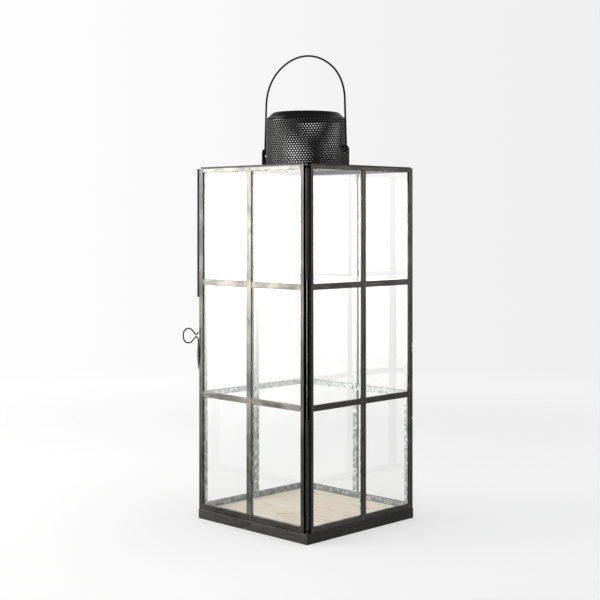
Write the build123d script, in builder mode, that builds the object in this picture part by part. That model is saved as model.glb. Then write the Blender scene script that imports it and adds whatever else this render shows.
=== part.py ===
from build123d import *
import os
from math import cos, sin, tan, acos, degrees, radians

# Square glazed candle lantern with a hinged door, a ventilated chimney and a
# wire bail. Millimetres, +Z up. The origin is the centre of the base's
# underside. The door is the -Y side and swings on the corner at +X, -Y.

# ---- driving dimensions -------------------------------------------------
BODY_HALF = 85.0          # outer faces of the four glazed panels
FRAME_DEPTH = 4.6         # thickness of a panel's frame
CORNER_STILE = 6.6        # stile that reaches a full corner
INNER_STILE = 5.0         # stile that stops at a corner notch
MULLION = 6.5             # width of the middle upright
DOOR_MULLION = 7.5
MULLION_SHIFT = 1.6       # door and right side: mullion off centre, to the corner stile
BAR_HEIGHT = 6.4          # crossbar height
BAR_DEPTH = 4.0           # crossbar thickness, thinner than the frame
TOP_RAIL = 4.4
BOTTOM_RAIL = 6.0
SECTION_ROUND = 0.4       # rounding on the frame sections
GLASS = 2.0
GROOVE = 2.2              # groove width for the glass
GROOVE_DEPTH = 2.3
GLASS_BITE = 2.0          # how far the glass enters a groove

TRAY_HALF = 85.6
TRAY_WALL = 1.2
TRAY_FLOOR = 1.0
TRAY_HEIGHT = 10.6
TRAY_CORNER = 1.0
TRAY_RIM = 1.0            # turned-in rim that the frame stands on
TRAY_EDGE = 0.4           # rounding of the tray's top outer edge
BOARD_GAP = 0.4           # between the board and the frame round it
BOARD_CHAMFER = 0.4

PLATE_HALF = 85.3
PLATE_THICK = 1.2
PLATE_TOP = 394.0
PLATE_CORNER = 6.0
VENT_RADIUS = 36.0

DOOR_GAP_BELOW = 0.4
DOOR_GAP_ABOVE = 0.5
DOOR_GAP_SIDE = 0.4

BAND_RADIUS = 44.0
BAND_SHEET = 0.8
BAND_HEIGHT = 54.0
CAP_SHEET = 0.6
CAP_LIP = 1.1             # lip of the cap below the band's top edge
CAP_TURN = 0.75           # above the band's top edge: where the lip turns inwards
CAP_RIM = 1.9             # width of the nearly level rim inside the lip
CAP_RIM_RISE = 0.95
CAP_SHOULDER = 5.2        # width and height of the sloping shoulder
CAP_SHOULDER_RISE = 5.1
CAP_CROWN_RADIUS = 30.0
CAP_CROWN_RISE = 0.6
CAP_TIGHT_BEND = 0.8
CAP_WIDE_BEND = 2.0

HANDLE_OFFSET = -2.5      # the ears and the bail sit slightly towards -X
EAR_INNER = 60.4
EAR_SHEET = 1.3
EAR_WIDTH = 15.0
EAR_HEIGHT = 23.0
EAR_ROUND = 5.0
EAR_HOLE = 3.4
EAR_FOOT = 12.0
PIVOT_Z = 410.0

BAIL_WIRE = 1.1
BAIL_HALF = 61.9
BAIL_SPRING_Z = 465.8     # height at which the arch leaves the legs
BAIL_SIDE_RADIUS = 49.0
BAIL_TOP_RADIUS = 70.0
BAIL_SPLAY = 2.1          # degrees, legs spread downwards
BAIL_BEND = 3.0
BAIL_STUB = 4.0           # length of the hook past the ear

HINGE_X = 82.7
HINGE_Y = -82.3
BARREL_RADIUS = 1.9
BARREL_BORE = 1.05
BARREL_LENGTH = 114.0
BARREL_WEB = 1.6
UPPER_BARREL_TOP = 388.8
LOWER_BARREL_BOTTOM = 14.4
PIN_RADIUS = 1.0
PIN_LENGTH = 60.0
PIN_BEND = 1.3
PIN_CLEARANCE = 0.4       # between the bent leg and the barrel's mouth

EDGE_TUBE_BOTTOM = 248.4
EDGE_TUBE_Y = -83.6

LATCH_WIRE = 0.75
LATCH_Z = 204.9           # middle of the wire loop
LATCH_REACH = 17.7
LATCH_LEG = 33.9          # straight leg below the loop's middle

# ---- derived dimensions -------------------------------------------------
INNER_CORNER = BODY_HALF - FRAME_DEPTH
PLATE_UNDER = PLATE_TOP - PLATE_THICK
FIXED_SPAN = (TRAY_HEIGHT, PLATE_UNDER)
DOOR_SPAN = (TRAY_HEIGHT + DOOR_GAP_BELOW, PLATE_UNDER - DOOR_GAP_ABOVE)

# Each side's plan plane: local x runs along the panel, left to right from
# outside, local y runs inwards from the outer face, local z is up.
SIDES = {
    "door": Plane(origin=(0, -BODY_HALF, 0), x_dir=(1, 0, 0), z_dir=(0, 0, 1)),
    "right": Plane(origin=(BODY_HALF, 0, 0), x_dir=(0, 1, 0), z_dir=(0, 0, 1)),
    "back": Plane(origin=(0, BODY_HALF, 0), x_dir=(-1, 0, 0), z_dir=(0, 0, 1)),
    "left": Plane(origin=(-BODY_HALF, 0, 0), x_dir=(0, -1, 0), z_dir=(0, 0, 1)),
}

# Panel name: start and end along the side, widths of the two stiles, heights.
PANELS = {
    "door": (-BODY_HALF, INNER_CORNER - DOOR_GAP_SIDE, CORNER_STILE, INNER_STILE, DOOR_SPAN),
    "right": (-INNER_CORNER, BODY_HALF, INNER_STILE, CORNER_STILE, FIXED_SPAN),
    "back": (-INNER_CORNER, INNER_CORNER, INNER_STILE, INNER_STILE, FIXED_SPAN),
    "left": (-BODY_HALF, INNER_CORNER - DOOR_GAP_SIDE, CORNER_STILE, INNER_STILE, FIXED_SPAN),
}

# Each mullion's width, and how far it stands off the middle of the glazing.
MULLIONS = {
    "door": (DOOR_MULLION, -MULLION_SHIFT),
    "right": (MULLION, MULLION_SHIFT),
    "back": (MULLION, 0.0),
    "left": (MULLION, 0.0),
}

os.makedirs("parts", exist_ok=True)


def save(piece, name):
    """Label a finished piece and write it."""
    piece.label = name
    export_step(piece, f"parts/{name}.step")


def upright(side, start, end, bottom, top, groove_left, groove_right):
    """A vertical frame section with a glass groove in one or both edges."""
    middle = FRAME_DEPTH / 2
    with BuildPart() as piece:
        with BuildSketch(side.offset(bottom)):
            with Locations(((start + end) / 2, middle)):
                RectangleRounded(end - start, FRAME_DEPTH, SECTION_ROUND)
            if groove_left:
                with Locations((start + GROOVE_DEPTH / 2, middle)):
                    Rectangle(GROOVE_DEPTH, GROOVE, mode=Mode.SUBTRACT)
            if groove_right:
                with Locations((end - GROOVE_DEPTH / 2, middle)):
                    Rectangle(GROOVE_DEPTH, GROOVE, mode=Mode.SUBTRACT)
        extrude(amount=top - bottom)
    return piece.part


def level(side, start, end, bottom, top, depth, groove_below, groove_above):
    """A horizontal frame section with a glass groove below, above or both."""
    middle = FRAME_DEPTH / 2
    across = Plane(
        origin=side.from_local_coords(Vector(start, 0, 0)),
        x_dir=side.y_dir,
        z_dir=side.x_dir,
    )
    with BuildPart() as piece:
        with BuildSketch(across):
            with Locations((middle, (bottom + top) / 2)):
                RectangleRounded(depth, top - bottom, SECTION_ROUND)
            if groove_below:
                with Locations((middle, bottom + GROOVE_DEPTH / 2)):
                    Rectangle(GROOVE, GROOVE_DEPTH, mode=Mode.SUBTRACT)
            if groove_above:
                with Locations((middle, top - GROOVE_DEPTH / 2)):
                    Rectangle(GROOVE, GROOVE_DEPTH, mode=Mode.SUBTRACT)
        extrude(amount=end - start)
    return piece.part


def panel(name):
    """One glazed side: two stiles, two rails, a mullion, four bars, six panes."""
    side = SIDES[name]
    start, end, stile_a, stile_b, (bottom, top) = PANELS[name]
    glass_start = start + stile_a
    glass_end = end - stile_b
    mullion_width, mullion_shift = MULLIONS[name]
    centre = (glass_start + glass_end) / 2 + mullion_shift
    mullion_start = centre - mullion_width / 2
    mullion_end = centre + mullion_width / 2
    glass_bottom = bottom + BOTTOM_RAIL
    glass_top = top - TOP_RAIL
    pane_height = (glass_top - glass_bottom - 2 * BAR_HEIGHT) / 3

    save(upright(side, start, glass_start, bottom, top, False, True), f"{name}_stile_a")
    save(upright(side, glass_end, end, bottom, top, True, False), f"{name}_stile_b")
    save(
        level(side, glass_start, glass_end, bottom, glass_bottom, FRAME_DEPTH, False, True),
        f"{name}_bottom_rail",
    )
    save(
        level(side, glass_start, glass_end, glass_top, top, FRAME_DEPTH, True, False),
        f"{name}_top_rail",
    )
    save(
        upright(side, mullion_start, mullion_end, glass_bottom, glass_top, True, True),
        f"{name}_mullion",
    )

    columns = {"a": (glass_start, mullion_start), "b": (mullion_end, glass_end)}
    rows = [glass_bottom + index * (pane_height + BAR_HEIGHT) for index in range(3)]
    for column, (left, right) in columns.items():
        for row, height in zip(("lower", "upper"), rows):
            bar_bottom = height + pane_height
            bar = level(
                side, left, right, bar_bottom, bar_bottom + BAR_HEIGHT, BAR_DEPTH, True, True
            )
            save(bar, f"{name}_{row}_bar_{column}")

    face = Plane(
        origin=side.from_local_coords(Vector(0, (FRAME_DEPTH + GLASS) / 2, 0)),
        x_dir=side.x_dir,
        z_dir=side.y_dir * -1,
    )
    with BuildPart() as panes:
        with BuildSketch(face):
            for left, right in columns.values():
                for height in rows:
                    with Locations(((left + right) / 2, height + pane_height / 2)):
                        Rectangle(right - left + 2 * GLASS_BITE, pane_height + 2 * GLASS_BITE)
        extrude(amount=GLASS)
    save(panes.part, f"{name}_panes")


# ---- base: folded tray with a turned-in rim, and a wooden board dropped into it
rim_opening = BODY_HALF - FRAME_DEPTH
with BuildPart() as base_tray:
    with BuildSketch():
        RectangleRounded(2 * TRAY_HALF, 2 * TRAY_HALF, TRAY_CORNER)
    extrude(amount=TRAY_HEIGHT)
    fillet(base_tray.edges().group_by(Axis.Z)[-1], radius=TRAY_EDGE)
    with BuildSketch(Plane.XY.offset(TRAY_FLOOR)):
        Rectangle(2 * (TRAY_HALF - TRAY_WALL), 2 * (TRAY_HALF - TRAY_WALL))
    extrude(amount=TRAY_HEIGHT - TRAY_FLOOR - TRAY_RIM, mode=Mode.SUBTRACT)
    with BuildSketch(Plane.XY.offset(TRAY_FLOOR)):
        Rectangle(2 * rim_opening, 2 * rim_opening)
    extrude(amount=TRAY_HEIGHT, mode=Mode.SUBTRACT)
save(base_tray.part, "base_tray")

board_side = 2 * (rim_opening - BOARD_GAP)
with BuildPart() as base_board:
    with BuildSketch(Plane.XY.offset(TRAY_FLOOR)):
        Rectangle(board_side, board_side)
    extrude(amount=TRAY_HEIGHT - TRAY_FLOOR)
    chamfer(base_board.edges().group_by(Axis.Z)[-1], length=BOARD_CHAMFER)
save(base_board.part, "base_board")

# ---- top plate with the round vent under the chimney --------------------
with BuildPart() as top_plate:
    with BuildSketch(Plane.XY.offset(PLATE_UNDER)):
        RectangleRounded(2 * PLATE_HALF, 2 * PLATE_HALF, PLATE_CORNER)
        Circle(VENT_RADIUS, mode=Mode.SUBTRACT)
    extrude(amount=PLATE_THICK)
save(top_plate.part, "top_plate")

# ---- chimney: round band and its shallow domed cap ----------------------
with BuildPart() as chimney_band:
    with BuildSketch(Plane.XY.offset(PLATE_TOP)):
        Circle(BAND_RADIUS)
        Circle(BAND_RADIUS - BAND_SHEET, mode=Mode.SUBTRACT)
    extrude(amount=BAND_HEIGHT)
save(chimney_band.part, "chimney_band")

band_top = PLATE_TOP + BAND_HEIGHT
cap_radius = BAND_RADIUS + CAP_SHEET / 2
cap_turn_z = band_top + CAP_TURN
rim_radius = cap_radius - CAP_RIM
rim_z = cap_turn_z + CAP_RIM_RISE
shoulder_radius = rim_radius - CAP_SHOULDER
shoulder_z = rim_z + CAP_SHOULDER_RISE
crown_z = shoulder_z + CAP_CROWN_RISE
with BuildPart() as chimney_cap:
    with BuildSketch(Plane.XZ):
        with BuildLine() as profile:
            FilletPolyline(
                (cap_radius, band_top - CAP_LIP),
                (cap_radius, cap_turn_z),
                (rim_radius, rim_z),
                (shoulder_radius, shoulder_z),
                (CAP_CROWN_RADIUS, crown_z),
                (0, crown_z),
                radius=(CAP_TIGHT_BEND, CAP_TIGHT_BEND, CAP_WIDE_BEND, CAP_WIDE_BEND),
            )
        trace(profile.line, line_width=CAP_SHEET)
    revolve(axis=Axis.Z)
save(chimney_cap.part, "chimney_cap")


# ---- ears that carry the bail -------------------------------------------
def ear(direction, name):
    """A bent tab with its foot on the plate, towards the chimney."""
    inner_x = HANDLE_OFFSET + direction * EAR_INNER
    outer_x = inner_x + direction * EAR_SHEET
    foot_x = inner_x - direction * EAR_FOOT
    top_z = PLATE_TOP + EAR_HEIGHT
    foot_z = PLATE_TOP + EAR_SHEET
    with BuildPart() as tab:
        with BuildSketch(Plane.XZ):
            with BuildLine():
                Polyline(
                    (foot_x, PLATE_TOP),
                    (outer_x, PLATE_TOP),
                    (outer_x, top_z),
                    (inner_x, top_z),
                    (inner_x, foot_z),
                    (foot_x, foot_z),
                    close=True,
                )
            make_face()
        extrude(amount=EAR_WIDTH / 2, both=True)
        fillet(tab.edges().filter_by(Axis.X).group_by(Axis.Z)[-1], radius=EAR_ROUND)
        with BuildSketch(Plane.YZ.offset(inner_x)):
            with Locations((0, PIVOT_Z)):
                Circle(EAR_HOLE)
        extrude(amount=2 * EAR_SHEET, both=True, mode=Mode.SUBTRACT)
    save(tab.part, name)


ear(-1, "bail_ear_left")
ear(1, "bail_ear_right")


# ---- wire bail: three-centred arch, splayed legs, hooked ends -----------
def on_circle(centre, radius, angle):
    """Point of a circle at an angle in degrees."""
    return (centre[0] + radius * cos(radians(angle)), centre[1] + radius * sin(radians(angle)))


side_centre_x = BAIL_HALF - BAIL_SIDE_RADIUS
arch_angle = degrees(acos(side_centre_x / (BAIL_TOP_RADIUS - BAIL_SIDE_RADIUS)))
top_centre = (
    HANDLE_OFFSET,
    BAIL_SPRING_Z - (BAIL_TOP_RADIUS - BAIL_SIDE_RADIUS) * sin(radians(arch_angle)),
)


def half_bail(direction):
    """Side arc, leg and hook on one side of the bail."""
    centre = (side_centre_x, BAIL_SPRING_Z)
    spring = on_circle(centre, BAIL_SIDE_RADIUS, BAIL_SPLAY)
    crown = on_circle(centre, BAIL_SIDE_RADIUS, arch_angle)
    between = on_circle(centre, BAIL_SIDE_RADIUS, (BAIL_SPLAY + arch_angle) / 2)
    foot = (spring[0] + (spring[1] - PIVOT_Z) * tan(radians(BAIL_SPLAY)), PIVOT_Z)
    stub = (EAR_INNER - BAIL_STUB, PIVOT_Z)

    def placed(point):
        return (HANDLE_OFFSET + direction * point[0], point[1])

    FilletPolyline(placed(stub), placed(foot), placed(spring), radius=BAIL_BEND)
    ThreePointArc(placed(spring), placed(between), placed(crown))


with BuildPart() as bail_handle:
    with BuildLine(Plane.XZ) as bail_path:
        half_bail(1)
        ThreePointArc(
            on_circle(top_centre, BAIL_TOP_RADIUS, arch_angle),
            on_circle(top_centre, BAIL_TOP_RADIUS, 90),
            on_circle(top_centre, BAIL_TOP_RADIUS, 180 - arch_angle),
        )
        half_bail(-1)
    bail_wire = bail_path.wires()[0]
    with BuildSketch(Plane(origin=bail_wire @ 0, z_dir=bail_wire % 0)):
        Circle(BAIL_WIRE)
    sweep(path=bail_wire)
save(bail_handle.part, "bail_handle")


# ---- hinge: two barrels on the right panel, two bent pins on the door ---
def barrel(bottom, name):
    """A long tube soldered to the right panel's edge by a short web."""
    with BuildPart() as tube:
        with BuildSketch(Plane.XY.offset(bottom)):
            with Locations((HINGE_X, HINGE_Y)):
                Circle(BARREL_RADIUS)
            with Locations((HINGE_X, (HINGE_Y - INNER_CORNER) / 2)):
                Rectangle(BARREL_WEB, -INNER_CORNER - HINGE_Y)
            with Locations((HINGE_X, HINGE_Y)):
                Circle(BARREL_BORE, mode=Mode.SUBTRACT)
        extrude(amount=BARREL_LENGTH)
    save(tube.part, name)


def hinge_pin(mouth, direction, name):
    """A wire pin that leaves the barrel's mouth and bends to the door stile."""
    bend_z = mouth + direction * (PIN_RADIUS + PIN_CLEARANCE)
    door_edge = INNER_CORNER - DOOR_GAP_SIDE
    with BuildPart() as pin:
        with BuildLine(Plane.XZ.offset(-HINGE_Y)) as pin_path:
            FilletPolyline(
                (HINGE_X, mouth - direction * PIN_LENGTH),
                (HINGE_X, bend_z),
                (door_edge, bend_z),
                radius=PIN_BEND,
            )
        pin_wire = pin_path.wires()[0]
        with BuildSketch(Plane(origin=pin_wire @ 0, z_dir=pin_wire % 0)):
            Circle(PIN_RADIUS)
        sweep(path=pin_wire)
    save(pin.part, name)


barrel(UPPER_BARREL_TOP - BARREL_LENGTH, "hinge_barrel_upper")
barrel(LOWER_BARREL_BOTTOM, "hinge_barrel_lower")
hinge_pin(UPPER_BARREL_TOP, 1, "hinge_pin_upper")
hinge_pin(LOWER_BARREL_BOTTOM, -1, "hinge_pin_lower")

# ---- round tube along the upper part of the door's free edge ------------
with BuildPart() as door_edge_tube:
    with BuildSketch(Plane.XY.offset(EDGE_TUBE_BOTTOM)):
        with Locations((-BODY_HALF - BARREL_RADIUS, EDGE_TUBE_Y)):
            Circle(BARREL_RADIUS)
            Circle(BARREL_BORE, mode=Mode.SUBTRACT)
    extrude(amount=DOOR_SPAN[1] - EDGE_TUBE_BOTTOM)
save(door_edge_tube.part, "door_edge_tube")

# ---- wire finger loop at the door's free corner -------------------------
# Local x points out from the corner along the diagonal, local y is up.
corner_plane = Plane(
    origin=(-BODY_HALF, -BODY_HALF, LATCH_Z),
    x_dir=(-1, -1, 0),
    z_dir=(-1, 1, 0),
)
# Half of the loop, from the neck to the outermost point, and its radii.
NECK = (3.2, 0.55)
LOOP_HALF = [(9.6, 8.5), (15.2, 7.7), (LATCH_REACH, 3.3)]
LOOP_RADII = [5.4, 5.4, 8.5]
NECK_RADIUS = 1.0
LEG_RADIUS = 2.2
UPPER_END = (LATCH_WIRE, 4.0)
LEG_TURN = (LATCH_WIRE, -4.0)

with BuildPart() as latch_loop:
    with BuildLine(corner_plane) as loop_path:
        FilletPolyline(
            UPPER_END,
            NECK,
            *LOOP_HALF,
            *[(x, -y) for x, y in reversed(LOOP_HALF)],
            (NECK[0], -NECK[1]),
            LEG_TURN,
            (LATCH_WIRE, -LATCH_LEG),
            radius=[
                NECK_RADIUS,
                *LOOP_RADII,
                *reversed(LOOP_RADII),
                NECK_RADIUS,
                LEG_RADIUS,
            ],
        )
    loop_wire = loop_path.wires()[0]
    with BuildSketch(Plane(origin=loop_wire @ 0, z_dir=loop_wire % 0)):
        Circle(LATCH_WIRE)
    sweep(path=loop_wire)
save(latch_loop.part, "latch_loop")

# ---- the four glazed sides ----------------------------------------------
for panel_name in PANELS:
    panel(panel_name)
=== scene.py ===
import math
import random

import bmesh
import bpy
from mathutils import Euler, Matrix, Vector


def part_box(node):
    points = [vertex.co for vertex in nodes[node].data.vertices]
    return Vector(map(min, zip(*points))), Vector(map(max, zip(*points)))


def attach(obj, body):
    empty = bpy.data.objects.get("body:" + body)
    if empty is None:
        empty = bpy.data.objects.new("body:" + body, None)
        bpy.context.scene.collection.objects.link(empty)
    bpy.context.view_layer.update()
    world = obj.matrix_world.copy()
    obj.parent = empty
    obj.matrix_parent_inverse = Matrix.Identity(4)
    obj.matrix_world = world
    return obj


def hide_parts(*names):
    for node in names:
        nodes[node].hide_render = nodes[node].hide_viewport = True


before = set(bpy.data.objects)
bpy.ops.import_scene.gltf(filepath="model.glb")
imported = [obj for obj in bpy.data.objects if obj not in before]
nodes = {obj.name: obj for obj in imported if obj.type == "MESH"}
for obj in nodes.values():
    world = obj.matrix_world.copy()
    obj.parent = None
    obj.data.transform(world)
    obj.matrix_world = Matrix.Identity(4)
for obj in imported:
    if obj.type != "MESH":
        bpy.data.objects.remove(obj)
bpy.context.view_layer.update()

MM = 0.001

# Sides of the lantern: the way each glazed panel faces.
OUTWARD = {
    "door": Vector((0, -1, 0)),
    "right": Vector((1, 0, 0)),
    "back": Vector((0, 1, 0)),
    "left": Vector((-1, 0, 0)),
}


# ---------------------------------------------------------------- shader helper
class Graph:
    """The nodes of one material or world, with short calls for making them.

    In a material, the Object coordinates are the piece's own, in metres.
    """

    def __init__(self, owner):
        self.owner = owner
        self.owner.use_nodes = True
        self.tree = owner.node_tree
        self.tree.nodes.clear()
        self.place = self.add("ShaderNodeTexCoord")

    def add(self, kind, **settings):
        node = self.tree.nodes.new(kind)
        for key, value in settings.items():
            setattr(node, key, value)
        return node

    def put(self, socket, value):
        """Link value to the socket, or set it there. A colour is given without its alpha."""
        if isinstance(value, bpy.types.NodeSocket):
            self.tree.links.new(value, socket)
        elif isinstance(value, tuple) and len(value) == 3 and socket.type == "RGBA":
            socket.default_value = (*value, 1.0)
        else:
            socket.default_value = value

    def math(self, operation, a, b=0.0, clamp=False):
        node = self.add("ShaderNodeMath", operation=operation, use_clamp=clamp)
        self.put(node.inputs[0], a)
        self.put(node.inputs[1], b)
        return node.outputs[0]

    def dot(self, a, b):
        node = self.add("ShaderNodeVectorMath", operation="DOT_PRODUCT")
        self.put(node.inputs[0], a)
        self.put(node.inputs[1], b)
        return node.outputs["Value"]

    def scaled_place(self, scale):
        """The piece's own coordinates, each multiplied by its part of scale."""
        node = self.add("ShaderNodeVectorMath", operation="MULTIPLY")
        self.put(node.inputs[0], self.place.outputs["Object"])
        self.put(node.inputs[1], scale)
        return node.outputs[0]

    def noise(self, size, detail=4.0, rough=0.55, stretch=(1, 1, 1), warp=0.0):
        """Noise whose patches are about size metres across, drawn out by stretch."""
        node = self.add("ShaderNodeTexNoise")
        self.put(node.inputs["Vector"], self.scaled_place(tuple(1 / s for s in stretch)))
        self.put(node.inputs["Scale"], 1 / size)
        self.put(node.inputs["Detail"], detail)
        self.put(node.inputs["Roughness"], rough)
        self.put(node.inputs["Distortion"], warp)
        return node.outputs["Fac"]

    def span(self, value, low, high, to_low=0.0, to_high=1.0):
        """value taken from low..high to to_low..to_high, smoothly and clamped."""
        node = self.add("ShaderNodeMapRange", interpolation_type="SMOOTHSTEP")
        for socket, number in zip(node.inputs, (value, low, high, to_low, to_high)):
            self.put(socket, number)
        return node.outputs[0]

    def mix(self, share, a, b):
        node = self.add("ShaderNodeMix", data_type="RGBA")
        self.put(node.inputs[0], share)
        self.put(node.inputs[6], a)
        self.put(node.inputs[7], b)
        return node.outputs[2]

    def blend(self, share, a, b):
        """The same as mix, for a number."""
        node = self.add("ShaderNodeMix", data_type="FLOAT")
        self.put(node.inputs[0], share)
        self.put(node.inputs[2], a)
        self.put(node.inputs[3], b)
        return node.outputs[0]

    def edges(self, radius):
        """1 on edges and 0 on flat faces, from how far a rounded normal leans from the true one."""
        soft = self.add("ShaderNodeBevel", samples=4)
        self.put(soft.inputs["Radius"], radius)
        true = self.add("ShaderNodeNewGeometry")
        lean = self.dot(soft.outputs[0], true.outputs["Normal"])
        return self.span(lean, 0.985, 0.90)

    def bump(self, height, distance, strength=1.0):
        node = self.add("ShaderNodeBump")
        self.put(node.inputs["Strength"], strength)
        self.put(node.inputs["Distance"], distance)
        self.put(node.inputs["Height"], height)
        return node.outputs[0]

    def surface(self, **values):
        shader = self.add("ShaderNodeBsdfPrincipled")
        for key, value in values.items():
            self.put(shader.inputs[key.replace("_", " ")], value)
        return shader.outputs[0]

    def bounced(self):
        """1 for rays that have come off a surface, and 0 for those seen directly or through glass."""
        path = self.add("ShaderNodeLightPath")
        return self.math("ADD", path.outputs["Glossy Depth"], path.outputs["Diffuse Depth"], clamp=True)

    def done(self, shader, output="ShaderNodeOutputMaterial"):
        out = self.add(output)
        self.tree.links.new(shader, out.inputs["Surface"])
        return self.owner


# ---------------------------------------------------------------- materials
# Patinas come in pairs, the darker first: the frame's strips, the door's (lightened with painted sheen from
# the key light), its stiles, the tray and the plate.
BLACKENED = (0.034, 0.032, 0.030)
BROWNED = (0.060, 0.054, 0.048)
# The door's pair is the patina lightened with painted sheen, as the door faces the key light.
DOOR_SHEEN_BLACKENED = (0.066, 0.063, 0.058)
DOOR_SHEEN_BROWNED = (0.165, 0.156, 0.140)
DOOR_STILE = (0.034, 0.033, 0.031)
DOOR_STILE_BROWNED = (0.074, 0.070, 0.065)
TRAY_BLACKENED = (0.044, 0.043, 0.042)
TRAY_BROWNED = (0.072, 0.070, 0.067)
PLATE_BLACKENED = (0.008, 0.008, 0.008)
PLATE_BROWNED = (0.020, 0.019, 0.018)
# Painted shade: near-black for the corner behind the hinge and for the tray's faces turned away from the key.
PAINTED_SHADE = (0.006, 0.006, 0.006)
WORN = (0.42, 0.39, 0.36)
# The tinned insides: of most strips, of the bottom rails, and of the top rails and the plate's underside,
# this last pair darkened with painted shade under the plate.
TINNED = (0.84, 0.86, 0.85)
TIN_SHADE = (0.46, 0.48, 0.48)
TIN_STAIN = (0.13, 0.14, 0.145)
FOOT_TINNED = (0.52, 0.54, 0.53)
FOOT_TIN_SHADE = (0.17, 0.18, 0.18)
SHADED_HEAD_TINNED = (0.080, 0.088, 0.094)
SHADED_HEAD_TIN_DARK = (0.045, 0.050, 0.054)
TUBE_DARK = (0.026, 0.025, 0.025)
TUBE_LIGHT = (0.046, 0.044, 0.043)
COAT_BLACK = (0.002, 0.002, 0.002)
COAT_GREY = (0.005, 0.005, 0.005)
DUST_AND_SHEEN = (0.10, 0.098, 0.095)
WOOD_PALE = (1.0, 0.93, 0.79)
WOOD_TAN = (0.95, 0.77, 0.60)
WOOD_SHADE = (0.62, 0.43, 0.30)
WOOD_CREAM = (0.99, 0.90, 0.77)
WOOD_RED = (0.72, 0.44, 0.31)
GLASS_TINT = (0.972, 0.977, 0.972)
GLASS_CLEAR = (0.982, 0.986, 0.981)
GLASS_SHADOW = (0.93, 0.95, 0.94)
SOLDER_DARK = ((0.060, 0.056, 0.052), (0.20, 0.19, 0.18))
SOLDER_BRIGHT = ((0.50, 0.49, 0.47), (0.74, 0.73, 0.70))
SOLDER_BROWN = ((0.105, 0.096, 0.088), (0.210, 0.192, 0.172))

HINGE_SHADE_EDGE = 4.4 * MM         # painted shade in the corner behind the hinge fades in between these distances from the hinge's line
HINGE_SHADE_FULL = 3.8 * MM
TIN_EVEN_FROM = 0.25          # the tinned insides are even above this height, and stained below the next
TIN_STAINED_BELOW = 0.05
SOFT_LINE = 0.2 * MM          # half the width over which tin turns to patina


def blackened(name, way, tinned_below, dark, brown, wear=0.6, along=(1, 1, 1), tinned=None, shaded_side=0.0):
    """Metal strip with a patina. What lies less than tinned_below out along way is inside, and stays tinned.

    dark and brown are the patina's two colours, wear the rubbed edges' share, and along how its streaks are
    drawn out. The side share darkens the faces turned to +X with painted shade. Painted shade also darkens
    the corner behind the hinge.
    """
    g = Graph(bpy.data.materials.new(name))
    broad = g.noise(0.030, detail=3)
    fine = g.noise(0.0022, detail=5, rough=0.65, stretch=along)
    patches = g.span(g.math("ADD", g.math("MULTIPLY", broad, 0.6), g.math("MULTIPLY", fine, 0.4)), 0.38, 0.62)
    patina = g.mix(patches, dark, brown)
    scuff = g.span(g.noise(0.0045, detail=6, rough=0.7), 0.52, 0.70)
    rubbed = g.math("MULTIPLY", g.edges(0.5 * MM), g.blend(scuff, 0.12, 1.0))
    rubbed = g.math("MULTIPLY", rubbed, wear)
    outer = g.mix(rubbed, patina, WORN)
    # Painted shade: strips close to the hinge's line are darkened to near-black, as the corner behind the
    # hinge lies in shade.
    off_hinge = g.add("ShaderNodeVectorMath", operation="DISTANCE")
    g.put(off_hinge.inputs[0], g.scaled_place((1, 1, 0)))
    g.put(off_hinge.inputs[1], tuple(HINGE_LINE))
    hinge_shade = g.span(off_hinge.outputs["Value"], HINGE_SHADE_EDGE, HINGE_SHADE_FULL)
    up = g.dot(g.place.outputs["Object"], (0, 0, 1))
    hinge_shade = g.math("MULTIPLY", hinge_shade, g.span(up, TRAY_TOP, TRAY_TOP + 0.3 * MM))
    outer = g.mix(hinge_shade, outer, PAINTED_SHADE)
    # Painted shade: the faces turned to +X, away from the key, are darkened.
    if shaded_side:
        turned = g.span(g.dot(g.place.outputs["Normal"], (1, 0, 0)), 0.2, 0.8)
        outer = g.mix(g.math("MULTIPLY", turned, shaded_side), outer, PAINTED_SHADE)

    mottle = g.span(g.noise(0.0050, detail=6, rough=0.7, warp=0.4), 0.36, 0.66)
    dark_specks = g.span(g.noise(0.0016, detail=4, rough=0.6), 0.60, 0.68)
    shade, bright = tinned or (TIN_SHADE, TINNED)
    low_down = g.span(up, TIN_EVEN_FROM, TIN_STAINED_BELOW)
    mottle = g.blend(g.span(low_down, 0.0, 1.0, 0.75, 0.0), mottle, 1.0)
    tin = g.mix(mottle, shade, bright)
    tin = g.mix(g.math("MULTIPLY", dark_specks, g.span(low_down, 0.0, 1.0, 0.12, 0.6)), tin, shade)
    tin = g.mix(g.math("MULTIPLY", low_down, g.span(mottle, 0.9, 0.1, 0.10, 0.65)), tin, TIN_STAIN)
    out_along = g.dot(g.place.outputs["Object"], tuple(way))
    inside = g.span(out_along, tinned_below + SOFT_LINE, tinned_below - SOFT_LINE)
    run_along = g.math("ABSOLUTE", g.dot(g.place.outputs["Object"], tuple(way.yxz)))
    inside = g.math("MULTIPLY", inside, g.span(run_along, CORNER_REACH, CORNER_REACH - 0.3 * MM))
    colour = g.mix(inside, outer, tin)

    rough = g.blend(inside, g.span(fine, 0.3, 0.7, 0.20, 0.32), g.span(mottle, 0.0, 1.0, 0.58, 0.44))
    height = g.math("ADD", g.noise(0.0035, detail=5), g.math("MULTIPLY", fine, 0.5))
    return g.done(
        g.surface(
            Base_Color=colour,
            Metallic=g.blend(inside, 0.92, 0.55),
            Roughness=rough,
            Normal=g.bump(height, 0.05 * MM, 0.5),
        )
    )


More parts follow.
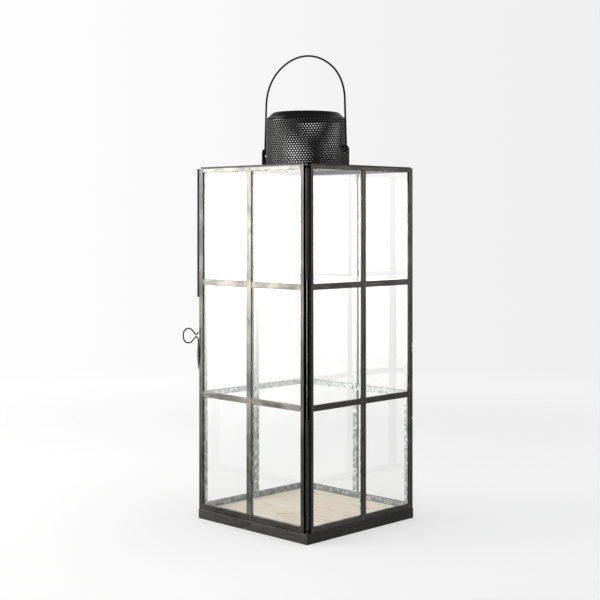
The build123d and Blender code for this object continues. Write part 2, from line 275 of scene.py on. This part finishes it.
def drawn_metal(name, dark, light, rough_low, rough_high, wear):
    """Blackened drawn tube, with streaks along it and rubbed patches."""
    g = Graph(bpy.data.materials.new(name))
    streak = g.noise(0.004, detail=5, rough=0.6, stretch=(1, 1, 6))
    fine = g.noise(0.0009, detail=3)
    colour = g.mix(g.span(streak, 0.35, 0.68), dark, light)
    rubbed = g.math("MULTIPLY", g.span(g.noise(0.0028, detail=6, rough=0.75), 0.60, 0.72), wear)
    colour = g.mix(rubbed, colour, WORN)
    return g.done(
        g.surface(
            Base_Color=colour,
            Metallic=0.9,
            Roughness=g.span(streak, 0.3, 0.7, rough_low, rough_high),
            Normal=g.bump(fine, 0.03 * MM, 0.5),
        )
    )


def black_coat(name, rough_low, rough_high, gloss, dust_and_sheen):
    """Black satin coating on sheet or wire, with a slight orange-peel and dusty edges, which on the ears also
    carry a painted highlight on their rims and holes.
    """
    g = Graph(bpy.data.materials.new(name))
    cloud = g.noise(0.012, detail=4)
    peel = g.noise(0.0008, detail=2)
    edge = g.math("MULTIPLY", g.edges(0.4 * MM), g.span(g.noise(0.003, detail=5), 0.45, 0.7))
    colour = g.mix(g.span(cloud, 0.35, 0.65), COAT_BLACK, COAT_GREY)
    colour = g.mix(g.math("MULTIPLY", edge, dust_and_sheen), colour, DUST_AND_SHEEN)
    return g.done(
        g.surface(
            Base_Color=colour,
            Roughness=g.span(cloud, 0.3, 0.7, rough_low, rough_high),
            Specular_IOR_Level=gloss,
            Normal=g.bump(peel, 0.03 * MM, 0.5),
        )
    )


def bare_wood(name):
    """Pale board with a fine straight grain along X, and a few reddish marks."""
    g = Graph(bpy.data.materials.new(name))
    bands = g.noise(0.010, detail=5, rough=0.6, stretch=(9, 1, 1), warp=0.3)
    fibres = g.noise(0.0012, detail=6, rough=0.7, stretch=(22, 1, 1))
    cloud = g.noise(0.05, detail=3)
    colour = g.mix(g.span(bands, 0.35, 0.68), WOOD_PALE, WOOD_TAN)
    colour = g.mix(g.math("MULTIPLY", g.span(fibres, 0.50, 0.75), 0.6), colour, WOOD_SHADE)
    colour = g.mix(g.math("MULTIPLY", g.span(cloud, 0.45, 0.70), 0.3), colour, WOOD_CREAM)
    marks = g.span(g.noise(0.011, detail=6, rough=0.7, stretch=(2.5, 1, 1), warp=0.8), 0.56, 0.68)
    colour = g.mix(g.math("MULTIPLY", marks, 0.85), colour, WOOD_RED)
    soiled = g.math("MULTIPLY", g.edges(0.6 * MM), 0.4)
    colour = g.mix(soiled, colour, WOOD_SHADE)
    return g.done(
        g.surface(
            Base_Color=colour,
            Roughness=g.span(fibres, 0.3, 0.7, 0.50, 0.70),
            Normal=g.bump(g.math("ADD", bands, fibres), 0.10 * MM, 0.5),
        )
    )


def clear_glass(name):
    """Clear sheet glass with a faint green cast and a very slight waviness. It casts almost no shadow."""
    g = Graph(bpy.data.materials.new(name))
    wave = g.noise(0.060, detail=2)
    tint = g.mix(g.noise(0.08, detail=1), GLASS_TINT, GLASS_CLEAR)
    smear = g.span(g.noise(0.030, detail=5, rough=0.6), 0.55, 0.80, 0.0, 0.03)
    glass = g.surface(
        Base_Color=tint,
        Roughness=smear,
        IOR=1.50,
        Transmission_Weight=1.0,
        Normal=g.bump(wave, 0.15 * MM, 0.25),
    )
    clear = g.add("ShaderNodeBsdfTransparent")
    g.put(clear.inputs["Color"], GLASS_SHADOW)
    path = g.add("ShaderNodeLightPath")
    choice = g.add("ShaderNodeMixShader")
    g.put(choice.inputs[0], path.outputs["Is Shadow Ray"])
    g.put(choice.inputs[1], glass)
    g.put(choice.inputs[2], clear.outputs[0])
    return g.done(choice.outputs[0])


def soft_solder(name, dark, light):
    """Solder that has dulled and taken some of the patina."""
    g = Graph(bpy.data.materials.new(name))
    mottle = g.noise(0.0022, detail=5, rough=0.65)
    pits = g.noise(0.0007, detail=3)
    colour = g.mix(g.span(mottle, 0.38, 0.64), dark, light)
    return g.done(
        g.surface(
            Base_Color=colour,
            Metallic=0.85,
            Roughness=g.span(mottle, 0.3, 0.7, 0.34, 0.50),
            Normal=g.bump(g.math("ADD", mottle, pits), 0.08 * MM, 0.7),
        )
    )


TRAY_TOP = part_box("base_tray")[1].z
barrel_low, barrel_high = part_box("hinge_barrel_upper")
HINGE_LINE = (barrel_low + barrel_high) / 2
HINGE_LINE.z = 0
CORNER_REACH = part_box("door_stile_b")[1].x - 0.1 * MM     # further out lie the dark corners of the frame
UP = (1, 1, 8)                # how streaks are drawn out on an upright strip, and on a level one
SIDEWAYS = (8, 8, 1)

# The frame's strips by side: mullions, crossbars, top rails, bottom rails and stiles.
came_upright, came_level, came_head, came_foot, came_stile = {}, {}, {}, {}, {}
for side, way in OUTWARD.items():
    stile_low, stile_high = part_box(f"{side}_stile_a")
    middle_plane = way.dot((stile_low + stile_high) / 2)
    # The door's strips take a lighter pair: painted sheen of the key light that falls on the door.
    dark, brown = (DOOR_SHEEN_BLACKENED, DOOR_SHEEN_BROWNED) if side == "door" else (BLACKENED, BROWNED)
    came_upright[side] = blackened(f"came_upright_{side}", way, middle_plane, dark, brown, along=UP)
    came_level[side] = blackened(f"came_level_{side}", way, middle_plane, dark, brown, along=SIDEWAYS)
    # The top rails' tinned insides are darkened with painted shade under the plate.
    came_head[side] = blackened(
        f"came_head_{side}", way, middle_plane, dark, brown, along=SIDEWAYS,
        tinned=(SHADED_HEAD_TIN_DARK, SHADED_HEAD_TINNED),
    )
    came_foot[side] = blackened(
        f"came_foot_{side}", way, middle_plane, BLACKENED, BROWNED, along=SIDEWAYS,
        tinned=(FOOT_TIN_SHADE, FOOT_TINNED),
    )
    dark, brown = (DOOR_STILE, DOOR_STILE_BROWNED) if side == "door" else (BLACKENED, BROWNED)
    came_stile[side] = blackened(f"came_stile_{side}", way, middle_plane, dark, brown, along=UP)

NEVER = -1.0                  # below every piece, so that none of it is tinned
# The tray's faces turned to +X get painted shade.
tray_metal = blackened(
    "tray_metal", Vector((0, 0, 1)), NEVER, TRAY_BLACKENED, TRAY_BROWNED, along=SIDEWAYS,
    # At this larger share the tray's rubbed edges are wear and also a painted highlight along them.
    wear=0.8, shaded_side=0.6,
)
plate_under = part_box("top_plate")[0].z
# The plate's tinned underside is darkened with painted shade.
plate_metal = blackened(
    "plate_metal", Vector((0, 0, 1)), plate_under + 0.2 * MM, PLATE_BLACKENED, PLATE_BROWNED, along=SIDEWAYS,
    wear=0.3, tinned=(SHADED_HEAD_TIN_DARK, SHADED_HEAD_TINNED),
)
tube_metal = drawn_metal("tube_metal", TUBE_DARK, TUBE_LIGHT, 0.26, 0.36, wear=0.25)
wire_coat = black_coat("wire_coat", 0.38, 0.50, 0.12, dust_and_sheen=0.10)
coated_sheet = black_coat("coated_sheet", 0.20, 0.30, 0.42, dust_and_sheen=0.05)
# On the ears the large edge share is dusting and also a painted highlight on their rims and hole edges.
ear_coat = black_coat("ear_coat", 0.34, 0.46, 0.18, dust_and_sheen=0.4)
board_wood = bare_wood("board_wood")
pane_glass = clear_glass("pane_glass")
solder_dark = soft_solder("solder_dark", *SOLDER_DARK)
solder_bright = soft_solder("solder_bright", *SOLDER_BRIGHT)
solder_brown = soft_solder("solder_brown", *SOLDER_BROWN)


def dress(obj, material):
    obj.data.materials.clear()
    obj.data.materials.append(material)


def material_for(name):
    """The material of a CAD node, from what the node is."""
    side, _, part = name.partition("_")
    if part == "panes":
        return pane_glass
    if name == "base_board":
        return board_wood
    if name == "base_tray":
        return tray_metal
    if name == "top_plate":
        return plate_metal
    if name.startswith("bail_ear"):
        return ear_coat
    if name.startswith("chimney"):
        return coated_sheet
    if name.startswith("hinge_barrel") or name == "door_edge_tube":
        return tube_metal
    if name in ("bail_handle", "latch_loop") or name.startswith("hinge_pin"):
        return wire_coat
    if "stile" in part:
        return came_stile[side]
    if part == "top_rail":
        return came_head[side]
    if part == "bottom_rail":
        return came_foot[side]
    return came_upright[side] if part == "mullion" else came_level[side]


for name, node in nodes.items():
    dress(node, material_for(name))


# ---------------------------------------------------------------- pieces built here
def add_mesh(name, mesh_data, material, body):
    """mesh_data, a bmesh, as a smooth object that rides on body and is dressed in material."""
    mesh = bpy.data.meshes.new(name)
    bmesh.ops.recalc_face_normals(mesh_data, faces=mesh_data.faces)
    mesh_data.to_mesh(mesh)
    mesh_data.free()
    obj = bpy.data.objects.new(name, mesh)
    bpy.context.scene.collection.objects.link(obj)
    dress(obj, material)
    for polygon in mesh.polygons:
        polygon.use_smooth = True
    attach(obj, body)
    return obj


# -- chimney band: thin perforated sheet, rolled into a ring
HOLE_COLUMNS = 86
HOLE_ROWS = 20
HOLE_RADIUS = 0.94 * MM
ROW_PITCH = 2.58 * MM
PLAIN_TOP = 2.3 * MM          # from the band's top edge to the first row of holes
SHEET = 0.8 * MM
ROW_LEAN = 1.7 * MM           # the sheet is rolled a little askew
LEAN_AT = math.radians(75)    # the turn from +X at which the rows stand highest
CELL_STEPS = 4                # steps along a cell's top edge
# A cell's outline, as shares of its half width and half height from its middle.
CELL_OUTLINE = [
    (1, 0), (1, 1), (0.5, 1), (0, 1), (-0.5, 1), (-1, 1),
    (-1, 0), (-1, -1), (-0.5, -1), (0, -1), (0.5, -1), (1, -1),
]


def perforated_band():
    """The band as cells with a round hole each, in staggered rows, with a plain strip above and below."""
    low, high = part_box("chimney_band")
    radius = (high.x - low.x) / 2
    centre = (low + high) / 2
    column = 2 * math.pi / HOLE_COLUMNS
    first_row = high.z - PLAIN_TOP
    rows_top = first_row + ROW_PITCH / 2
    rows_bottom = rows_top - HOLE_ROWS * ROW_PITCH
    steps_round = CELL_STEPS * HOLE_COLUMNS
    bm = bmesh.new()
    made = {}

    def lean(turn):
        """How much higher the rows are at this turn round the band."""
        return ROW_LEAN * math.cos(turn - LEAN_AT)

    def grid_point(step, z, level=False):
        """A vertex that many steps round the band, shared by the cells that meet there."""
        key = (step % steps_round, round(z, 7))
        if key not in made:
            turn = key[0] * column / CELL_STEPS
            rise = 0 if level else lean(turn)
            made[key] = bm.verts.new(
                (centre.x + radius * math.cos(turn), centre.y + radius * math.sin(turn), z + rise)
            )
        return made[key]

    def cell(middle_step, z):
        """One cell: its outline joined to the rim of the hole in it."""
        outline, hole = [], []
        for across, up in CELL_OUTLINE:
            outline.append(grid_point(middle_step + round(across * CELL_STEPS / 2), z + up * ROW_PITCH / 2))
            angle = math.atan2(up * ROW_PITCH / 2, across * column * radius / 2)
            turn = middle_step * column / CELL_STEPS + HOLE_RADIUS * math.cos(angle) / radius
            hole.append(
                bm.verts.new(
                    (
                        centre.x + radius * math.cos(turn),
                        centre.y + radius * math.sin(turn),
                        z + HOLE_RADIUS * math.sin(angle) + lean(turn),
                    )
                )
            )
        for i in range(len(outline)):
            j = (i + 1) % len(outline)
            bm.faces.new((outline[i], outline[j], hole[j], hole[i]))

    for row in range(HOLE_ROWS):
        for column_number in range(HOLE_COLUMNS):
            shift = CELL_STEPS // 2 if row % 2 else 0
            cell(CELL_STEPS * column_number + shift, first_row - row * ROW_PITCH)
    for upper, lower in ((high.z, rows_top), (rows_bottom, low.z)):
        for step in range(steps_round):
            bm.faces.new(
                (
                    grid_point(step, upper, upper == high.z),
                    grid_point(step + 1, upper, upper == high.z),
                    grid_point(step + 1, lower, lower == low.z),
                    grid_point(step, lower, lower == low.z),
                )
            )
    band = add_mesh("perforated_band", bm, coated_sheet, "lantern")
    wall = band.modifiers.new("sheet", "SOLIDIFY")
    wall.thickness = SHEET
    wall.offset = -1
    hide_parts("chimney_band")


perforated_band()

# -- solder: flattened beads over the joints of the frame strips
BEAD_RINGS = 4
BEAD_POINTS = 14
BEAD_SINK = 0.15 * MM         # the rim's depth under the face
BEAD_ROOT = 0.3 * MM          # and the depth of the point that closes the bead below
BAR_BEAD = (3.0 * MM, 1.3 * MM, 0.42 * MM)       # half length, half width, height
RAIL_BEAD = (2.0 * MM, 1.2 * MM, 0.22 * MM)
draws = random.Random(11)


def bead(bm, centre, outward, along, half_length, half_width, height):
    """A low lump of solder lying on a face: longer along one way, with an uneven rim."""
    across = outward.cross(along)
    wobble = [1 + draws.uniform(-0.16, 0.16) for _ in range(BEAD_POINTS)]
    lump = draws.uniform(0.85, 1.15)
    rings = []
    for ring in range(1, BEAD_RINGS + 1):
        share = ring / BEAD_RINGS
        rise = height * lump * (1 - share**2) ** 0.7 - BEAD_SINK * share**4
        row = []
        for i in range(BEAD_POINTS):
            turn = 2 * math.pi * i / BEAD_POINTS
            reach = share * (1 + (wobble[i] - 1) * share)
            row.append(
                bm.verts.new(
                    centre
                    + along * (half_length * reach * math.cos(turn))
                    + across * (half_width * reach * math.sin(turn))
                    + outward * rise
                )
            )
        rings.append(row)
    top = bm.verts.new(centre + outward * height * lump)
    for i in range(BEAD_POINTS):
        j = (i + 1) % BEAD_POINTS
        bm.faces.new((top, rings[0][i], rings[0][j]))
        for inner, outer in zip(rings, rings[1:]):
            bm.faces.new((inner[i], outer[i], outer[j], inner[j]))
    under = bm.verts.new(centre - outward * BEAD_ROOT)
    for i in range(BEAD_POINTS):
        j = (i + 1) % BEAD_POINTS
        bm.faces.new((rings[-1][i], under, rings[-1][j]))


def face_point(point, side, low, high, inside=False):
    """point moved onto the outer face of the strip with corners low and high, or onto its inner one."""
    way = OUTWARD[side]
    axis = 0 if way.x else 1
    outer = high[axis] if way[axis] > 0 else low[axis]
    inner = low[axis] if way[axis] > 0 else high[axis]
    moved = point.copy()
    moved[axis] = inner if inside else outer
    return moved


def panel_solder(side, body):
    """Beads where each crossbar meets the uprights, outside and in, and where each rail does, outside."""
    way = OUTWARD[side]
    run = 1 if way.x else 0
    up = Vector((0, 0, 1))
    bm = bmesh.new()
    for part in ("upper_bar_a", "upper_bar_b", "lower_bar_a", "lower_bar_b"):
        low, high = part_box(f"{side}_{part}")
        for end in (low[run], high[run]):
            for inside in (False, True):
                spot = (low + high) / 2
                spot[run] = end
                spot = face_point(spot, side, low, high, inside)
                facing = -way if inside else way
                size = draws.uniform(0.75, 1.05)
                bead(bm, spot, facing, up, BAR_BEAD[0] * size, BAR_BEAD[1] * size, BAR_BEAD[2])
    for part in ("top_rail", "bottom_rail"):
        low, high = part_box(f"{side}_{part}")
        for end in (low[run], (low[run] + high[run]) / 2, high[run]):
            spot = (low + high) / 2
            spot[run] = end
            spot = face_point(spot, side, low, high)
            size = draws.uniform(0.7, 1.0)
            bead(bm, spot, way, up, RAIL_BEAD[0] * size, RAIL_BEAD[1] * size, RAIL_BEAD[2])
    add_mesh(f"{side}_solder", bm, solder_dark, body)


for side in OUTWARD:
    panel_solder(side, "door" if side == "door" else "lantern")


def level_ring(bm, centre, girth, points):
    """Vertices round a level circle of radius girth."""
    ring = []
    for i in range(points):
        turn = 2 * math.pi * i / points
        ring.append(bm.verts.new(centre + Vector((girth * math.cos(turn), girth * math.sin(turn), 0))))
    return ring


def skin(bm, rings):
    """Faces that join each ring to the next one up, and close both ends."""
    for lower, upper in zip(rings, rings[1:]):
        for i in range(len(lower)):
            j = (i + 1) % len(lower)
            bm.faces.new((lower[i], lower[j], upper[j], upper[i]))
    bm.faces.new(rings[0])
    bm.faces.new(rings[-1])


# -- a run of solder down the inner corner of the right side's near stile, behind the hinge
SEAM_RADIUS = 0.30 * MM
SEAM_RINGS = 60
SEAM_POINTS = 8
SEAM_SHORT = 1 * MM           # the seam stops this far from either end of the stile


def hinge_seam():
    low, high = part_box("right_stile_a")
    length = high.z - low.z - 2 * SEAM_SHORT
    bm = bmesh.new()
    rings = []
    for ring in range(SEAM_RINGS + 1):
        z = low.z + SEAM_SHORT + length * ring / SEAM_RINGS
        girth = SEAM_RADIUS * (1 + draws.uniform(-0.12, 0.0))
        rings.append(level_ring(bm, Vector((low.x, low.y, z)), girth, SEAM_POINTS))
    skin(bm, rings)
    add_mesh("hinge_seam", bm, solder_dark, "lantern")


hinge_seam()

# -- bare lumps of solder on the outer corner of the right side's far stile
CHIP_HEIGHTS = (0.1945, 0.189, 0.112)            # above the table
CHIP_LENGTHS = (2.6 * MM, 1.6 * MM, 1.4 * MM)    # half of each chip's length
CHIP_INSET = 1.0 * MM         # from the stile's back edge
CHIP_HALF_WIDTH = 1.3 * MM
CHIP_RISE = 0.45 * MM


def corner_chips():
    low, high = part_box("right_stile_b")
    bm = bmesh.new()
    for height, length in zip(CHIP_HEIGHTS, CHIP_LENGTHS):
        spot = Vector((high.x, high.y - CHIP_INSET, height))
        bead(bm, spot, OUTWARD["right"], Vector((0, 0, 1)), length, CHIP_HALF_WIDTH, CHIP_RISE)
    add_mesh("corner_chips", bm, solder_bright, "lantern")


corner_chips()

# -- the long fillet of solder that holds the finger loop's lower leg on the door's corner
LATCH_WIRE = 0.75 * MM        # radius of the loop's wire
FILLET_POINTS = 16
FILLET_RINGS = 26
FILLET_BELOW = 4 * MM         # how far the fillet reaches below the loop's lowest point, and above it
FILLET_ABOVE = 26 * MM
FILLET_THIN = 0.35 * MM       # radius at the ends, and how much the middle adds to it
FILLET_SWELL = 1.25 * MM


def latch_solder():
    low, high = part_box("latch_loop")
    bottom = Vector((high.x - LATCH_WIRE, high.y - LATCH_WIRE, low.z - FILLET_BELOW))
    bm = bmesh.new()
    rings = []
    for ring in range(FILLET_RINGS + 1):
        share = ring / FILLET_RINGS
        rise = (FILLET_ABOVE + FILLET_BELOW) * share
        swell = math.sin(math.pi * min(1.0, share * 0.94 + 0.06) ** 1.7) ** 0.8
        girth = FILLET_THIN + FILLET_SWELL * swell * (1 + draws.uniform(-0.06, 0.06))
        rings.append(level_ring(bm, bottom + Vector((0, 0, rise)), girth, FILLET_POINTS))
    skin(bm, rings)
    add_mesh("latch_solder", bm, solder_brown, "door")


latch_solder()


# ---------------------------------------------------------------- camera
# The camera is level, at the height of the upper third, and looks at the hinge corner.
CAMERA_TURN = math.radians(44.64)
CAMERA_HEIGHT = 0.338
CAMERA_DISTANCE = 1.436
CAMERA_SLIDE = -0.0067        # sideways, so that the lantern stands a little right of the middle
CAMERA_SHIFT = -0.138         # the frame lies lower than the camera's level line
LENS = 76.6
SENSOR_WIDTH = 36
ahead = Vector((-math.sin(CAMERA_TURN), math.cos(CAMERA_TURN), 0))
rightward = Vector((math.cos(CAMERA_TURN), math.sin(CAMERA_TURN), 0))
camera = bpy.data.objects.new("camera", bpy.data.cameras.new("camera"))
camera.data.sensor_width = SENSOR_WIDTH
camera.data.lens = LENS
camera.data.shift_y = CAMERA_SHIFT
camera.data.clip_start = 0.05
camera.location = rightward * CAMERA_SLIDE - ahead * CAMERA_DISTANCE + Vector((0, 0, CAMERA_HEIGHT))
camera.rotation_euler = Euler((math.pi / 2, 0, CAMERA_TURN))
bpy.context.scene.collection.objects.link(camera)
bpy.context.scene.camera = camera


# ---------------------------------------------------------------- floor, light and background
# Places on the floor and directions in the backdrop are measured to the camera's right.
FLOOR_REACH = 6.0
FLOOR_UNDER = 0.0003          # just below the lantern's foot
FLOOR_FULL = 0.45             # the floor is solid this far out, and fades into the background by FLOOR_GONE
FLOOR_GONE = 1.5
FLOOR_GLOW_LEFT = 0.50        # the floor is a pale sheet with a painted glow of light, a little more on the left
FLOOR_GLOW_RIGHT = 0.445
FLOOR_GLOW_FROM = -0.36
FLOOR_GLOW_TO = 0.26
SPILL = 1.0                   # a painted pool of the key's light on the floor in front of it, glowing for bounced rays only
SPILL_FROM = 0.35
SPILL_FULL = 1.5
FLOOR_DARK = (0.49, 0.49, 0.49)
FLOOR_LIGHT = (0.51, 0.51, 0.51)
BACKDROP_LEFT = 0.985
BACKDROP_RIGHT = 0.862
BACKDROP_FROM = -0.24
BACKDROP_TO = 0.20
ROOM = 0.42                   # how bright the room around is, for bounced rays, and how bright overhead
ROOM_OVERHEAD = 0.10
ROOM_COLOUR = (0.96, 0.98, 1.0)
OVERHEAD_FROM = 0.25
OVERHEAD_FULL = 0.85
CARD_AWAY = 1.5               # two tall glowing sheets, the key on the left and a dimmer one on the right
CARD_LIFT = 0.001
CARD_HALF_WIDTH = 0.62
CARD_HEIGHT = 1.15
CARD_FOOT = 0.36              # a card is dimmer below this height
CARD_COLOUR = (1.0, 0.985, 0.965)
KEY_BRIGHTNESS = 9.0
KEY_FOOT_SHARE = 0.36
SIDE_BRIGHTNESS = 2.0
SIDE_FOOT_SHARE = 0.45
TOP_PLACE = (0.2, 0.2, 2.2)
TOP_WIDTH = 2.0
TOP_BRIGHTNESS = 2.2


def make_floor():
    """A pale floor with a painted glow of light, so that its shadows are light, and fades into the backdrop.
    """
    bm = bmesh.new()
    bmesh.ops.create_grid(bm, x_segments=8, y_segments=8, size=FLOOR_REACH)
    mesh = bpy.data.meshes.new("floor")
    bm.to_mesh(mesh)
    bm.free()
    floor = bpy.data.objects.new("floor", mesh)
    floor.location.z = -FLOOR_UNDER
    bpy.context.scene.collection.objects.link(floor)
    g = Graph(bpy.data.materials.new("floor"))
    far = g.add("ShaderNodeVectorMath", operation="LENGTH")
    g.put(far.inputs[0], g.place.outputs["Object"])
    fade = g.span(far.outputs["Value"], FLOOR_FULL, FLOOR_GONE)
    colour = g.mix(g.noise(0.4, detail=2), FLOOR_DARK, FLOOR_LIGHT)
    matt = g.add("ShaderNodeBsdfDiffuse")
    g.put(matt.inputs["Color"], colour)
    glow = g.add("ShaderNodeEmission")
    sideways = g.dot(g.place.outputs["Object"], tuple(rightward))
    shine = g.span(sideways, FLOOR_GLOW_FROM, FLOOR_GLOW_TO, FLOOR_GLOW_LEFT, FLOOR_GLOW_RIGHT)
    bounced = g.bounced()
    seen = g.math("SUBTRACT", 1.0, bounced)
    # Painted light: a pool of the key's light glows on the floor in front of it, for bounced rays only.
    spill = g.math("MULTIPLY", g.span(sideways, -SPILL_FROM, -SPILL_FULL, 0.0, SPILL), bounced)
    g.put(glow.inputs["Strength"], g.math("ADD", shine, spill))
    lit = g.add("ShaderNodeAddShader")
    g.put(lit.inputs[0], matt.outputs[0])
    g.put(lit.inputs[1], glow.outputs[0])
    gone = g.add("ShaderNodeBsdfTransparent")
    choice = g.add("ShaderNodeMixShader")
    g.put(choice.inputs[0], g.math("MULTIPLY", fade, seen))
    g.put(choice.inputs[1], lit.outputs[0])
    g.put(choice.inputs[2], gone.outputs[0])
    dress(floor, g.done(choice.outputs[0]))


def soft_light(name, place, width, brightness):
    """A square soft box at place, turned to the lantern's foot. brightness is how bright its face looks."""
    light = bpy.data.lights.new(name, "AREA")
    light.shape = "SQUARE"
    light.size = width
    light.energy = brightness * math.pi * width**2
    lamp = bpy.data.objects.new(name, light)
    lamp.location = place
    lamp.rotation_euler = (-Vector(place)).to_track_quat("-Z", "Y").to_euler()
    lamp.visible_camera = False
    lamp.visible_transmission = False
    lamp.visible_glossy = False
    bpy.context.scene.collection.objects.link(lamp)


def make_background():
    """A pale backdrop, a little brighter on the left, and a dimmer room for bounced rays."""
    g = Graph(bpy.data.worlds.new("studio"))
    way = g.place.outputs["Generated"]
    backdrop = g.add("ShaderNodeBackground")
    sideways = g.dot(way, tuple(rightward))
    shine = g.span(sideways, BACKDROP_FROM, BACKDROP_TO, BACKDROP_LEFT, BACKDROP_RIGHT)
    g.put(backdrop.inputs["Color"], (1.0, 1.0, 1.0))
    g.put(backdrop.inputs["Strength"], shine)
    room = g.add("ShaderNodeBackground")
    up = g.dot(way, (0, 0, 1))
    g.put(room.inputs["Color"], ROOM_COLOUR)
    g.put(room.inputs["Strength"], g.span(up, OVERHEAD_FROM, OVERHEAD_FULL, ROOM, ROOM_OVERHEAD))
    choice = g.add("ShaderNodeMixShader")
    g.put(choice.inputs[0], g.bounced())
    g.put(choice.inputs[1], backdrop.outputs[0])
    g.put(choice.inputs[2], room.outputs[0])
    bpy.context.scene.world = g.done(choice.outputs[0], "ShaderNodeOutputWorld")


def glowing_card(name, way, brightness, foot_share):
    """A sheet standing on the floor out along way, turned to the lantern.

    It shines softly: nothing at its sides and top, and foot_share of its brightness at the foot.
    """
    across = Vector((-way.y, way.x, 0))
    bm = bmesh.new()
    corners = []
    for u, v in ((-1, 0), (1, 0), (1, 1), (-1, 1)):
        corners.append(bm.verts.new(across * (u * CARD_HALF_WIDTH) + Vector((0, 0, v * CARD_HEIGHT))))
    bm.faces.new(corners)
    mesh = bpy.data.meshes.new(name)
    bm.to_mesh(mesh)
    bm.free()
    card = bpy.data.objects.new(name, mesh)
    card.location = way * CARD_AWAY + Vector((0, 0, CARD_LIFT))
    bpy.context.scene.collection.objects.link(card)
    g = Graph(bpy.data.materials.new(name))
    sideways = g.math("ABSOLUTE", g.dot(g.place.outputs["Object"], tuple(across)))
    up = g.dot(g.place.outputs["Object"], (0, 0, 1))
    sides = g.span(sideways, CARD_HALF_WIDTH, CARD_HALF_WIDTH * 0.55)
    rim = g.math("MULTIPLY", sides, g.span(up, CARD_HEIGHT, CARD_HEIGHT * 0.62))
    foot = g.span(up, 0.0, CARD_FOOT, foot_share, 1.0)
    glow = g.add("ShaderNodeEmission")
    g.put(glow.inputs["Color"], CARD_COLOUR)
    g.put(glow.inputs["Strength"], g.math("MULTIPLY", g.math("MULTIPLY", rim, foot), brightness))
    dress(card, g.done(glow.outputs[0]))
    card.visible_camera = False
    card.visible_shadow = False


make_floor()
make_background()
glowing_card("key", -rightward, KEY_BRIGHTNESS, KEY_FOOT_SHARE)
glowing_card("side_card", rightward, SIDE_BRIGHTNESS, SIDE_FOOT_SHARE)
soft_light("top", TOP_PLACE, TOP_WIDTH, TOP_BRIGHTNESS)
bpy.context.scene.view_settings.view_transform = "Standard"
